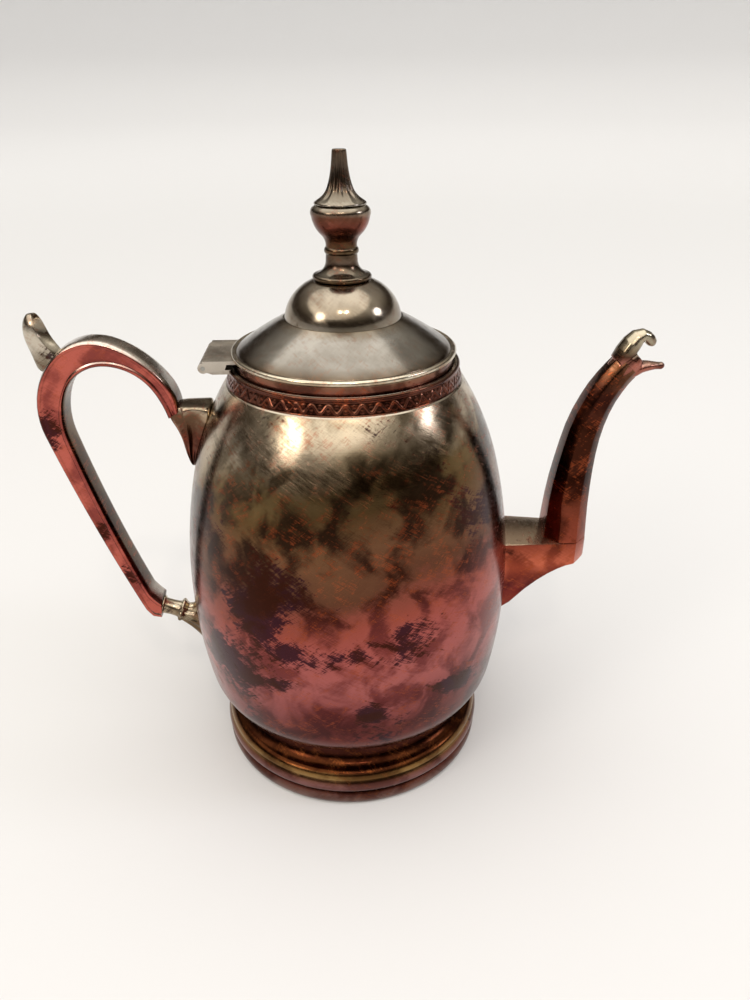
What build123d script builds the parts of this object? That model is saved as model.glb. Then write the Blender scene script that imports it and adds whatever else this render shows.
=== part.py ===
from build123d import *

import os

# Tall silver-plated hot-water pot with a hinged, domed lid, modelled as the separate pieces that
# it is soldered and bolted together from. Millimetres, +Z up, origin at the centre of the foot's
# underside, spout towards +X, handle and lid hinge towards -X.

# ---- driving dimensions -------------------------------------------------------------------------
wall = 1.2                     # spun sheet of the body, foot and lid

# body: outer radius at each height, from the foot joint to the neck
foot_joint_z = 26.0
neck_z = 168.4
neck_radius = 45.0
widest_radius = 66.6
widest_z = 82.0
waist_radius, waist_z = 59.8, 135.0      # joint between the two upper arcs
hip_radius, hip_z = 63.1, 42.5           # joint between the flank and the tight lower curve
sole_radius, sole_z = 55.8, 30.2
foot_joint_radius = 49.8

# foot
rim_height = 6.8
rim_inner = 53.5
rim_radius = 57.6
rim_sole_radius = 55.9         # where the rim rests
bead_radius = 58.0
bead_z = 10.4
groove_radius = 56.8           # between the bead and the rim
plate_radius = 47.6
plate_rise = 2.6

# neck collar, lid rim
collar_top_z = 175.2
collar_top_radius = 43.4
collar_bore = 40.0
seat_bore = 36.8
seat_z = 173.4
bead_wire = 0.8
band_depth = 0.6
rim_gap = 0.3
lid_rim_radius = 41.2
lid_rim_wall = 1.1
lid_bead_z = 179.4
lid_bead_wire = 1.1
flange_radius = 35.6
flange_drop = 8.0
flange_wall = 0.8

# lid shell
ledge_z = 191.1
ledge_radius = 24.6
dome_radius = 22.6
dome_top_z = 204.4
stud_clearance = 1.6

# finial
skirt_z = 205.2
skirt_radius = 10.7
finial_waist = 5.6
neck_ring_z = 213.6
urn_z = 216.0
spire_z = 229.9
finial_top_z = 247.6
stud_radius = 1.5
nut_flats = 6.0
nut_height = 2.4
washer_radius = 4.5
washer_height = 0.8

# hinge
hinge_x = -51.0
hinge_z = 176.4
knuckle_radius = 1.9
pin_radius = 0.8
pin_play = 0.05
hinge_width = 27.0
knuckle_count = 5
knuckle_gap = 0.2
lid_leaf_top = 179.0
lid_leaf_thick = 1.3
lid_leaf_cheek = 2.0
cheek_thick = 1.2
leaf_root = -34.0              # the plate runs in under the lid's rim, where the rim trims it
body_leaf_top = 175.2
body_leaf_thick = 1.6

# spout
spout_wall = 1.2
spout_body_half = 15.3         # half width of the spout's foot inside the body's wall
spout_root_x = 50.0            # inside the body, which trims the foot
spout_top_z = 96.8
strainer_hole = 2.8
strainer_pitch = 4.4
strainer_columns = 4
strainer_rows = 5
strainer_z = 83.0

# handle
handle_half = 6.0
handle_wall = 1.0


def turned(outline):
    """A ring or disc turned about the pot's axis from a closed outline of (radius, height)."""
    with BuildPart() as piece:
        with BuildSketch(Plane.XZ):
            with BuildLine():
                Polyline(*outline, close=True)
            make_face()
        revolve(axis=Axis.Z)
    return piece.part


def save(piece, label):
    piece.label = label
    export_step(piece, f"parts/{label}.step")


os.makedirs("parts", exist_ok=True)

# ---- body: a chain of tangent arcs, spun, open at the foot and the neck -----------------------------
with BuildPart() as body_solid:
    with BuildSketch(Plane.YZ):
        with BuildLine():
            rise = TangentArc((widest_radius, widest_z), (waist_radius, waist_z), tangent=(0, 1))
            shoulder = TangentArc(rise @ 1, (neck_radius, neck_z), tangent=rise % 1)
            fall = TangentArc((widest_radius, widest_z), (hip_radius, hip_z), tangent=(0, -1))
            hip = TangentArc(fall @ 1, (sole_radius, sole_z), tangent=fall % 1)
            sole = TangentArc(hip @ 1, (foot_joint_radius, foot_joint_z), tangent=hip % 1)
            Polyline(sole @ 1, (0, foot_joint_z), (0, neck_z), shoulder @ 1)
        make_face()
    revolve(axis=Axis.Z)

with BuildPart() as body_shell:
    add(body_solid.part)
    offset(amount=-wall, openings=body_shell.faces().filter_by(GeomType.PLANE))
    # pierced strainer behind the spout
    with BuildSketch(Plane.YZ.offset(neck_radius)):
        with Locations((0, strainer_z)):
            with GridLocations(strainer_pitch, strainer_pitch, strainer_columns, strainer_rows):
                Circle(strainer_hole / 2)
    extrude(amount=widest_radius - neck_radius + 1, mode=Mode.SUBTRACT)
save(body_shell.part, "body_shell")

save(turned([
    (0, foot_joint_z + plate_rise), (plate_radius * 0.6, foot_joint_z + plate_rise * 0.6),
    (plate_radius, foot_joint_z), (plate_radius, foot_joint_z - wall),
    (plate_radius * 0.6, foot_joint_z + plate_rise * 0.6 - wall), (0, foot_joint_z + plate_rise - wall),
]), "bottom_plate")

# ---- foot: spread ring with a cove, a shoulder and a bead, on a plain base wire -------------------
with BuildPart() as foot_ring:
    with BuildSketch(Plane.XZ):
        with BuildLine():
            ThreePointArc((foot_joint_radius, foot_joint_z), (50.6, 20.4), (54.2, 17.4))
            Spline((54.2, 17.4), (56.0, 15.8), (57.1, 13.2))
            ThreePointArc((57.1, 13.2), (bead_radius, bead_z), (groove_radius, rim_height))
            Polyline(
                (groove_radius, rim_height), (rim_inner + 1.5, rim_height), (55.0, 12.2),
                (52.0, 15.8), (48.6, 19.4), (plate_radius, 23.4), (plate_radius, foot_joint_z),
                (foot_joint_radius, foot_joint_z),
            )
        make_face()
    revolve(axis=Axis.Z)
save(foot_ring.part, "foot_ring")

with BuildPart() as foot_rim:
    with BuildSketch(Plane.XZ):
        with BuildLine():
            ThreePointArc((groove_radius, rim_height), (rim_radius, 3.6), (rim_sole_radius, 0))
            Polyline(
                (rim_sole_radius, 0), (rim_inner, 0), (rim_inner, rim_height), (groove_radius, rim_height),
            )
        make_face()
    revolve(axis=Axis.Z)
save(foot_rim.part, "foot_rim")

# ---- neck: seat ring, die-rolled ornament strip and the bead above it ------------------------------
strip_bottom = neck_z + 0.6
strip_top = collar_top_z - 2 * bead_wire
save(turned([
    (neck_radius, neck_z), (neck_radius - band_depth, strip_bottom),
    (collar_top_radius - band_depth, strip_top), (collar_top_radius - band_depth, collar_top_z),
    (lid_rim_radius + 0.7, collar_top_z), (lid_rim_radius + 0.7, seat_z), (seat_bore, seat_z),
    (seat_bore, seat_z - wall), (collar_bore, seat_z - wall), (neck_radius - 2.6, neck_z),
]), "neck_collar")
ornament_band = turned([
    (neck_radius - band_depth, strip_bottom), (neck_radius, strip_bottom),
    (collar_top_radius, strip_top), (collar_top_radius - band_depth, strip_top),
])
save(ornament_band, "ornament_band")
with BuildPart() as collar_bead:
    with BuildSketch(Plane.XZ):
        with BuildLine():
            bead_line = Line(
                (collar_top_radius - band_depth, collar_top_z),
                (collar_top_radius - band_depth, strip_top),
            )
            ThreePointArc(bead_line @ 0, (collar_top_radius + 0.19, collar_top_z - bead_wire), bead_line @ 1)
        make_face()
    revolve(axis=Axis.Z)
save(collar_bead.part, "collar_bead")

# ---- lid: rim with its bead, spun shell, inner flange ----------------------------------------------
rim_bottom = seat_z + rim_gap
rim_top = lid_bead_z + 0.7
with BuildPart() as lid_rim:
    with BuildSketch(Plane.XZ):
        with BuildLine():
            Polyline(
                (lid_rim_radius, lid_bead_z - lid_bead_wire), (lid_rim_radius, rim_bottom),
                (lid_rim_radius - lid_rim_wall, rim_bottom), (lid_rim_radius - lid_rim_wall, rim_top),
                (lid_rim_radius - 0.4, rim_top),
            )
            ThreePointArc(
                (lid_rim_radius - 0.4, rim_top), (lid_rim_radius + 0.9, lid_bead_z),
                (lid_rim_radius, lid_bead_z - lid_bead_wire),
            )
        make_face()
    revolve(axis=Axis.Z)
save(lid_rim.part, "lid_rim")

shell_edge = lid_rim_radius - lid_rim_wall
dome_arc = (18.9, 199.2)
with BuildPart() as lid_shell:
    with BuildSketch(Plane.XZ):
        with BuildLine():
            Line((shell_edge, rim_top), (ledge_radius, ledge_z - 0.5))
            Line((ledge_radius, ledge_z - 0.5), (ledge_radius - 0.6, ledge_z))
            Line((ledge_radius - 0.6, ledge_z), (dome_radius, ledge_z))
            ThreePointArc((dome_radius, ledge_z), dome_arc, (10.8, dome_top_z))
            Line((10.8, dome_top_z), (stud_clearance, skirt_z))
            Line((stud_clearance, skirt_z), (stud_clearance, skirt_z - wall))
            Line((stud_clearance, skirt_z - wall), (10.2, dome_top_z - wall))
            ThreePointArc(
                (10.2, dome_top_z - wall), (dome_arc[0] - wall * 0.8, dome_arc[1] - wall * 0.6),
                (dome_radius - wall, ledge_z - wall),
            )
            Line((dome_radius - wall, ledge_z - wall), (ledge_radius - 1.0, ledge_z - wall))
            Line((ledge_radius - 1.0, ledge_z - wall), (shell_edge, rim_top - 1.5))
            Line((shell_edge, rim_top - 1.5), (shell_edge, rim_top))
        make_face()
    revolve(axis=Axis.Z)
save(lid_shell.part, "lid_shell")

# the flange hangs from a flat shelf that is soldered inside the lid's rim
shelf_z = rim_top - 2.7
save(turned([
    (shell_edge, shelf_z), (flange_radius - flange_wall, shelf_z),
    (flange_radius - flange_wall, seat_z - flange_drop + 3), (flange_radius, seat_z - flange_drop + 3),
    (flange_radius, shelf_z - flange_wall), (shell_edge, shelf_z - flange_wall),
]), "lid_flange")

# ---- finial: skirt, neck ring, urn and fluted spire, drawn down by a stud and nut -----------------
with BuildPart() as finial_skirt:
    with BuildSketch(Plane.XZ):
        with BuildLine():
            Line((stud_radius, skirt_z), (skirt_radius - 1, skirt_z - 0.5))
            skirt_edge = ThreePointArc(
                (skirt_radius - 1, skirt_z - 0.5), (skirt_radius, skirt_z + 0.5),
                (skirt_radius - 1, skirt_z + 1.5),
            )
            Spline(skirt_edge @ 1, (7.6, skirt_z + 2.7), (6.1, skirt_z + 5.0), (finial_waist, neck_ring_z))
            Polyline((finial_waist, neck_ring_z), (stud_radius, neck_ring_z), (stud_radius, skirt_z))
        make_face()
    revolve(axis=Axis.Z)
    # the underside sits on the lid's dome
    add(lid_shell.part, mode=Mode.SUBTRACT)
save(finial_skirt.part, "finial_skirt")

with BuildPart() as finial_ring:
    with BuildSketch(Plane.XZ):
        with BuildLine():
            Line((stud_radius, neck_ring_z), (finial_waist, neck_ring_z))
            ThreePointArc(
                (finial_waist, neck_ring_z), (finial_waist + 0.6, (neck_ring_z + urn_z) / 2),
                (finial_waist, urn_z),
            )
            Line((finial_waist, urn_z), (stud_radius, urn_z))
            Line((stud_radius, urn_z), (stud_radius, neck_ring_z))
        make_face()
    revolve(axis=Axis.Z)
save(finial_ring.part, "finial_ring")

urn_widest_z = 227.4
with BuildPart() as finial_urn:
    with BuildSketch(Plane.XZ):
        with BuildLine():
            Spline(
                (finial_waist, urn_z), (finial_waist, urn_z + 1.4), (7.2, urn_z + 4.1), (8.9, urn_z + 7.5),
                (10.3, urn_widest_z - 1.2),
            )
            ThreePointArc((10.3, urn_widest_z - 1.2), (10.6, urn_widest_z + 0.5), (9.4, spire_z))
            Polyline((9.4, spire_z), (stud_radius, spire_z), (stud_radius, urn_z), (finial_waist, urn_z))
        make_face()
    revolve(axis=Axis.Z)
save(finial_urn.part, "finial_urn")

stud_top = 238.0
with BuildPart() as finial_spire:
    with BuildSketch(Plane.XZ):
        with BuildLine():
            Line((stud_radius, spire_z), (9.2, spire_z))
            Line((9.2, spire_z), (9.3, spire_z + 0.6))
            Spline((9.3, spire_z + 0.6), (6.4, 232.6), (4.5, 235.2), (3.3, 239.4), (2.5, finial_top_z))
            Polyline((2.5, finial_top_z), (0, finial_top_z), (0, stud_top), (stud_radius, stud_top))
            Line((stud_radius, stud_top), (stud_radius, spire_z))
        make_face()
    revolve(axis=Axis.Z)
save(finial_spire.part, "finial_spire")

nut_z = skirt_z - wall - washer_height - nut_height
with BuildPart() as finial_stud:
    with BuildSketch(Plane.XY.offset(nut_z - 1.5)):
        Circle(stud_radius)
    extrude(amount=stud_top - nut_z + 1.5)
save(finial_stud.part, "finial_stud")

with BuildPart() as finial_nut:
    with BuildSketch(Plane.XY.offset(nut_z)):
        RegularPolygon(nut_flats / 2, 6, major_radius=False)
        Circle(stud_radius, mode=Mode.SUBTRACT)
    extrude(amount=nut_height)
save(finial_nut.part, "finial_nut")

with BuildPart() as finial_washer:
    with BuildSketch(Plane.XY.offset(nut_z + nut_height)):
        Circle(washer_radius)
        Circle(stud_radius, mode=Mode.SUBTRACT)
    extrude(amount=washer_height)
    add(lid_shell.part, mode=Mode.SUBTRACT)
save(finial_washer.part, "finial_washer")

# ---- hinge: the lid's leaf carries the odd knuckles, the pot's leaf the even ones ------------------
knuckle_pitch = hinge_width / knuckle_count


def knuckles(first):
    """Every other knuckle along the hinge line, solid."""
    with BuildPart() as row:
        for index in range(first, knuckle_count, 2):
            middle = (index + 0.5) * knuckle_pitch - hinge_width / 2
            with BuildSketch(Plane.XZ.offset(-middle)):
                with Locations((hinge_x, hinge_z)):
                    Circle(knuckle_radius)
            extrude(amount=(knuckle_pitch - knuckle_gap) / 2, both=True)
    return row.part


def knuckle_slots(first):
    """The notches that the other leaf's knuckles turn in."""
    with BuildPart() as row:
        for index in range(first, knuckle_count, 2):
            middle = (index + 0.5) * knuckle_pitch - hinge_width / 2
            with BuildSketch(Plane.XZ.offset(-middle)):
                with Locations((hinge_x, hinge_z)):
                    Circle(knuckle_radius + 2 * knuckle_gap)
            extrude(amount=(knuckle_pitch + knuckle_gap) / 2, both=True)
    return row.part


with BuildPart() as pin_bore:
    with BuildSketch(Plane.XZ):
        with Locations((hinge_x, hinge_z)):
            Circle(pin_radius + pin_play)
    extrude(amount=hinge_width, both=True)

with BuildPart() as lid_bore:
    with BuildSketch(Plane.XY.offset(seat_z)):
        Circle(lid_rim_radius)
    extrude(amount=ledge_z - seat_z)

with BuildPart() as hinge_lid_leaf:
    # plate, with a cheek turned down along each side
    with BuildSketch(Plane.XY.offset(lid_leaf_top - lid_leaf_thick)):
        with BuildLine():
            Polyline(
                (hinge_x, -hinge_width / 2), (leaf_root, -hinge_width / 2), (leaf_root, hinge_width / 2),
                (hinge_x, hinge_width / 2), close=True,
            )
        make_face()
    extrude(amount=lid_leaf_thick)
    for side in (-1, 1):
        cheek_y = side * (hinge_width - cheek_thick) / 2
        with BuildSketch(Plane.XZ.offset(-cheek_y)):
            with BuildLine():
                Polyline(
                    (hinge_x, lid_leaf_top), (-44.0, lid_leaf_top), (-42.4, lid_leaf_top - lid_leaf_thick),
                    (-43.2, lid_leaf_top - lid_leaf_thick - lid_leaf_cheek),
                    (hinge_x, hinge_z - knuckle_radius + 0.2), close=True,
                )
            make_face()
        extrude(amount=cheek_thick / 2, both=True)
    add(knuckles(0))
    add(knuckle_slots(1), mode=Mode.SUBTRACT)
    add(pin_bore.part, mode=Mode.SUBTRACT)
    add(lid_bore.part, mode=Mode.SUBTRACT)
    add(lid_rim.part, mode=Mode.SUBTRACT)
save(hinge_lid_leaf.part, "hinge_lid_leaf")

with BuildPart() as collar_plug:
    with BuildSketch(Plane.XY.offset(neck_z)):
        Circle(collar_top_radius - band_depth)
    extrude(amount=collar_top_z - neck_z)

with BuildPart() as hinge_body_leaf:
    with BuildSketch(Plane.XZ):
        with BuildLine():
            Polyline(
                (hinge_x + 0.4, hinge_z - knuckle_radius), (-48.0, body_leaf_top - body_leaf_thick),
                (-41.0, body_leaf_top - body_leaf_thick), (-41.0, body_leaf_top),
                (hinge_x + 0.4, body_leaf_top + 0.3), close=True,
            )
        make_face()
    extrude(amount=hinge_width / 2 - cheek_thick - 2 * knuckle_gap, both=True)
    add(knuckles(1))
    add(knuckle_slots(0), mode=Mode.SUBTRACT)
    add(pin_bore.part, mode=Mode.SUBTRACT)
    add(collar_plug.part, mode=Mode.SUBTRACT)
    add(collar_bead.part, mode=Mode.SUBTRACT)
    add(ornament_band, mode=Mode.SUBTRACT)
save(hinge_body_leaf.part, "hinge_body_leaf")

with BuildPart() as hinge_pin:
    with BuildSketch(Plane.XZ):
        with Locations((hinge_x, hinge_z)):
            Circle(pin_radius)
    extrude(amount=hinge_width / 2, both=True)
save(hinge_pin.part, "hinge_pin")

# ---- spout: a box-like foot on the body, then an eight-sided neck that curves up and out -----------
# neck stations: x and z of the centre, lean of the path from vertical, half depth, half width
neck_stations = [
    (91.2, 94.0, 0, 8.9, 11.0), (91.4, 113.0, 5, 8.3, 8.6), (92.7, 129.0, 10, 7.4, 7.6),
    (94.8, 143.0, 17, 6.7, 6.8), (98.4, 154.5, 26, 6.1, 6.2), (103.2, 163.5, 36, 5.7, 5.7),
    (108.7, 170.6, 44, 5.4, 5.4),
]
depth_flat = 0.42              # where an octagon's corners stand along its half depth
width_flat = 0.5               # and along its half width


def octagon(half_depth, half_width):
    """An eight-sided section, long across the pot where its half width is the larger."""
    corner_x = half_depth * depth_flat
    corner_y = half_width * width_flat
    with BuildLine() as edge:
        Polyline(
            (half_depth, -corner_y), (half_depth, corner_y), (corner_x, half_width),
            (-corner_x, half_width), (-half_depth, corner_y), (-half_depth, -corner_y),
            (-corner_x, -half_width), (corner_x, -half_width), close=True,
        )
    return edge.line


def neck_solid(shrink):
    """The curved neck as one loft, its sections drawn in by the given amount."""
    with BuildPart() as neck:
        for x, z, lean, half_depth, half_width in neck_stations:
            with BuildSketch(Plane((x, 0, z)).rotated((0, lean, 0))):
                add(octagon(half_depth - shrink, half_width - shrink))
                make_face()
        loft()
    return neck.part


def foot_solid(shrink):
    """The spout's foot: a wedge in side view that narrows in plan to the neck's own section."""
    middle_x, _, _, half_depth, half_width = neck_stations[0]
    half_depth -= shrink
    half_width -= shrink
    end_x = middle_x + half_depth
    chamfer_x = middle_x + half_depth * depth_flat
    chamfer_y = half_width * width_flat
    top = spout_top_z - shrink
    with BuildPart() as block:
        with BuildSketch(Plane.XZ):
            with BuildLine():
                Polyline(
                    (spout_root_x, top + 1.6), (82, top + 0.4), (94, top), (end_x, top),
                    (end_x, 86.8 + shrink), (94, 86.4 + shrink), (86, 83.0 + 1.1 * shrink),
                    (79.5, 79.3 + 1.2 * shrink), (66, 66.6 + 1.4 * shrink),
                    (spout_root_x, 50.6 + 1.4 * shrink), close=True,
                )
            make_face()
        extrude(amount=2 * spout_body_half, both=True)
        with BuildSketch(Plane.XY.offset(spout_root_x)):
            with BuildLine():
                right = Polyline(
                    (spout_root_x, spout_body_half - shrink), (middle_x - 2, half_width),
                    (chamfer_x, half_width), (end_x, chamfer_y), (end_x, 0),
                )
                left = mirror(right, about=Plane.XZ)
                Line(right @ 0, left @ 0)
            make_face()
        extrude(amount=spout_top_z, mode=Mode.INTERSECT)
    return block.part


with BuildPart() as spout_shell:
    add(foot_solid(0))
    add(neck_solid(0))
    add(foot_solid(spout_wall), mode=Mode.SUBTRACT)
    add(neck_solid(spout_wall), mode=Mode.SUBTRACT)
    add(body_solid.part, mode=Mode.SUBTRACT)
for half, keep in (("spout_near_half", Keep.TOP), ("spout_far_half", Keep.BOTTOM)):
    save(split(spout_shell.part, bisect_by=Plane.XZ, keep=keep), half)

# the cast beak: an upper hood with a rolled nose, and a lower lip, either side of an open mouth
beak_half = 5.2
mouth_half = 3.7
with BuildPart() as spout_beak:
    with BuildSketch(Plane.XZ):
        with BuildLine():
            Polyline(
                (103.9, 173.9), (107.6, 178.4), (109.8, 182.0), (111.9, 184.0), (114.9, 182.8),
                (118.0, 180.4), (118.4, 178.6), (117.0, 177.2), (113.6, 177.0), (112.4, 175.2),
                (113.0, 172.9), (117.8, 171.9), (122.4, 171.2), (123.8, 169.8), (122.6, 168.4),
                (118.4, 168.0), (115.4, 168.0), (113.4, 166.0), close=True,
            )
        make_face()
    extrude(amount=beak_half, both=True)
    # plan taper: full width at the neck, narrow at the nose and lip
    with BuildSketch(Plane.XY.offset(160)):
        with BuildLine():
            Polyline(
                (100, -beak_half), (110, -beak_half), (117, -3.4), (124.5, -1.8), (124.5, 1.8),
                (117, 3.4), (110, beak_half), (100, beak_half), close=True,
            )
        make_face()
    extrude(amount=30, mode=Mode.INTERSECT)
    # the channel from the neck out through the mouth
    with BuildSketch(Plane.XZ):
        with BuildLine():
            Polyline(
                (101.0, 172.0), (107.2, 178.2), (113.8, 177.4), (117.0, 174.6), (114.2, 172.2),
                (115.0, 169.6), (110.6, 164.4), close=True,
            )
        make_face()
    extrude(amount=mouth_half, both=True, mode=Mode.SUBTRACT)
    add(neck_solid(0), mode=Mode.SUBTRACT)
save(spout_beak.part, "spout_beak")

# ---- handle: two stamped halves, soldered along the middle ----------------------------------------
# the leg bows slightly outwards: foot, middle and top of each side
outer_leg = [(-90.2, 68.6), (-103.9, 107.8), (-115.6, 147.6)]
inner_leg = [(-85.6, 74.1), (-96.9, 109.3), (-106.2, 145.5)]
outer_arch = [(-106.2, 179.6), (-84.4, 183.2), (-66.6, 168.2), (-63.2, 157.0)]
inner_arch = [(-104.6, 164.8), (-88.2, 174.8), (-72.2, 164.6), (-68.0, 154.0)]
handle_heel = [outer_leg[0], (-87.0, 62.0), (-82.6, 60.8), (-81.6, 69.0), inner_leg[0]]

with BuildSketch(Plane.XZ) as handle_face:
    with BuildLine():
        for leg, arch in ((outer_leg, outer_arch), (inner_leg, inner_arch)):
            stretch = ThreePointArc(*leg)
            for point in arch:
                stretch = TangentArc(stretch @ 1, point, tangent=stretch % 1)
        Polyline(*handle_heel)
        Line(outer_arch[-1], inner_arch[-1])
    make_face()
with BuildSketch(Plane.XZ) as handle_hollow:
    add(handle_face.sketch_local)
    offset(amount=-handle_wall, kind=Kind.INTERSECTION, mode=Mode.REPLACE)
for half, side in (("handle_near_half", 1), ("handle_far_half", -1)):
    with BuildPart() as handle_shell:
        with BuildSketch(Plane.XZ):
            add(handle_face.sketch_local)
        extrude(amount=side * handle_half)
        with BuildSketch(Plane.XZ):
            add(handle_hollow.sketch_local)
        extrude(amount=side * (handle_half - handle_wall), mode=Mode.SUBTRACT)
    save(handle_shell.part, half)

# ---- thumb rest: a cupped leaf that rises and curls back from the top of the handle ----------------
thumb_half = 5.4
with BuildPart() as thumb_rest:
    with BuildSketch(Plane.XZ):
        with BuildLine():
            Spline((-115.2, 171.0), (-116.0, 179.6), (-117.2, 186.2), (-116.4, 191.4), (-113.6, 194.2))
            Spline((-113.6, 194.2), (-111.2, 191.4), (-109.8, 186.2), (-106.4, 181.9), (-102.0, 180.0))
            Line((-102.0, 180.0), (-115.2, 171.0))
        make_face()
    extrude(amount=thumb_half, both=True)
    with BuildSketch(Plane.YZ.offset(-120)):
        with BuildLine():
            Spline(
                (-3.0, 168.0), (-3.6, 178.0), (-thumb_half, 186.6), (-3.8, 192.4), (0, 194.6),
                (3.8, 192.4), (thumb_half, 186.6), (3.6, 178.0), (3.0, 168.0),
            )
            Line((3.0, 168.0), (-3.0, 168.0))
        make_face()
    extrude(amount=22, mode=Mode.INTERSECT)
    with BuildSketch(Plane.XZ):
        add(handle_face.sketch_local)
    extrude(amount=handle_half, both=True, mode=Mode.SUBTRACT)
save(thumb_rest.part, "thumb_rest")

# ---- sockets: cast brackets that carry the handle on the body --------------------------------------
with BuildPart() as upper_socket:
    with BuildSketch(Plane.XZ):
        with BuildLine():
            Spline((-63.4, 157.4), (-58.6, 156.6), (-54.0, 155.2), (-49.0, 157.6))
            Polyline((-49.0, 157.6), (-49.0, 131.6), (-60.2, 131.6))
            Spline((-60.2, 131.6), (-62.8, 137.0), (-64.2, 144.4), (-66.4, 150.8), (-68.2, 153.2))
            Line((-68.2, 153.2), (-63.4, 157.4))
        make_face()
    extrude(amount=8.4, both=True)
    with BuildSketch(Plane.XY.offset(130)):
        with BuildLine():
            Polyline((-69, -5.4), (-63, -6.2), (-48, -8.4), (-48, 8.4), (-63, 6.2), (-69, 5.4), close=True)
        make_face()
    extrude(amount=32, mode=Mode.INTERSECT)
    add(body_solid.part, mode=Mode.SUBTRACT)
    with BuildSketch(Plane.XZ):
        add(handle_face.sketch_local)
    extrude(amount=handle_half, both=True, mode=Mode.SUBTRACT)
save(upper_socket.part, "upper_socket")

tube_start = (-82.8, 64.4)
tube_end = (-72.6, 60.8)
tube_length = 10.8
tube_radius = 3.7
tube_plane = Plane(
    (tube_start[0], 0, tube_start[1]), x_dir=(0, 1, 0),
    z_dir=(tube_end[0] - tube_start[0], 0, tube_end[1] - tube_start[1]),
)
with BuildPart() as lower_socket:
    with BuildSketch(tube_plane):
        Circle(tube_radius)
    extrude(amount=tube_length)
    with BuildSketch(Plane.XZ):
        add(handle_face.sketch_local)
    extrude(amount=handle_half, both=True, mode=Mode.SUBTRACT)
save(lower_socket.part, "lower_socket")

with BuildPart() as lower_boss:
    with BuildSketch(Plane.XZ):
        with BuildLine():
            Spline((-74.4, 65.4), (-70.4, 65.2), (-67.0, 66.8), (-64.6, 71.2))
            Polyline((-64.6, 71.2), (-60.0, 71.2), (-60.0, 41.2), (-62.6, 41.2))
            Spline((-62.6, 41.2), (-66.6, 47.4), (-71.4, 54.0), (-75.8, 56.8))
            Line((-75.8, 56.8), (-74.4, 65.4))
        make_face()
    extrude(amount=6.4, both=True)
    with BuildSketch(Plane.XY.offset(40)):
        with BuildLine():
            Polyline((-77, -4.2), (-72, -4.6), (-60, -6.4), (-60, 6.4), (-72, 4.6), (-77, 4.2), close=True)
        make_face()
    extrude(amount=36, mode=Mode.INTERSECT)
    add(body_solid.part, mode=Mode.SUBTRACT)
    add(lower_socket.part, mode=Mode.SUBTRACT)
save(lower_boss.part, "lower_boss")
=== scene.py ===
import math
from functools import partial

import bmesh
import bpy
from mathutils import Matrix, Vector


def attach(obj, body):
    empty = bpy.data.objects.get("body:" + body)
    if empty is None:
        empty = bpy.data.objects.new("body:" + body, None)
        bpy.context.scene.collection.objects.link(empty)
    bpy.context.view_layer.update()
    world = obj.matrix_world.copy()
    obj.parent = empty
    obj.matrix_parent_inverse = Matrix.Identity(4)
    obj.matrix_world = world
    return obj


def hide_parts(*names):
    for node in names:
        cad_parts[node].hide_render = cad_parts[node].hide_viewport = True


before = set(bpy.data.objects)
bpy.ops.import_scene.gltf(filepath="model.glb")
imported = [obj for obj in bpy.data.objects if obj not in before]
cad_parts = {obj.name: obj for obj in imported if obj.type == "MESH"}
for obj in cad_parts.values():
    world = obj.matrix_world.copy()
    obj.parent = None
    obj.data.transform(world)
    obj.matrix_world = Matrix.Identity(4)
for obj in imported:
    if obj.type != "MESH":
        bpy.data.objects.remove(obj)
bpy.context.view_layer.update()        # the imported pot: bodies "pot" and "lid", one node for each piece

mm = 0.001
fineSteps = 224        # facets round the body, foot, collar and lid
fittingSteps = 96      # facets round the finial
print("frame loaded:", len(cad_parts), "nodes")


# small helpers

def linearColour(hexText):
    # sRGB hex to the linear RGBA that the sockets want
    parts = [int(hexText[i:i + 2], 16) / 255 for i in (1, 3, 5)]
    return [c / 12.92 if c <= 0.04045 else ((c + 0.055) / 1.055) ** 2.4 for c in parts] + [1.0]


def addNode(tree, kind, inputs=(), **settings):
    # inputs, in order or by key, are nodes, sockets or plain values
    node = tree.nodes.new("ShaderNode" + kind)
    for key, value in settings.items():
        setattr(node, key, value)
    for key, value in (inputs.items() if isinstance(inputs, dict) else enumerate(inputs)):
        if isinstance(value, bpy.types.Node):
            value = next(output for output in value.outputs if output.enabled)
        if isinstance(value, bpy.types.NodeSocket):
            tree.links.new(value, node.inputs[key])
        else:
            node.inputs[key].default_value = value
    return node


def selectOnly(piece):
    bpy.ops.object.select_all(action="DESELECT")
    piece.select_set(True)
    bpy.context.view_layer.objects.active = piece


def applyModifier(piece, kind, **settings):
    selectOnly(piece)
    bpy.ops.object.modifier_add(type=kind)
    modifier = piece.modifiers[-1]
    for key, value in settings.items():
        setattr(modifier, key, value)
    bpy.ops.object.modifier_apply(modifier=modifier.name)


def settle(piece, body, material, nodes=(), angle=40):
    # the last steps for every new piece: place applied, shading, finish, body
    selectOnly(piece)
    bpy.ops.object.transform_apply(location=True, rotation=True, scale=True)
    bpy.ops.object.shade_smooth_by_angle(angle=math.radians(angle))
    piece.data.materials.clear()
    piece.data.materials.append(material)
    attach(piece, body)
    if nodes:
        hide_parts(*nodes)
    return piece


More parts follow.
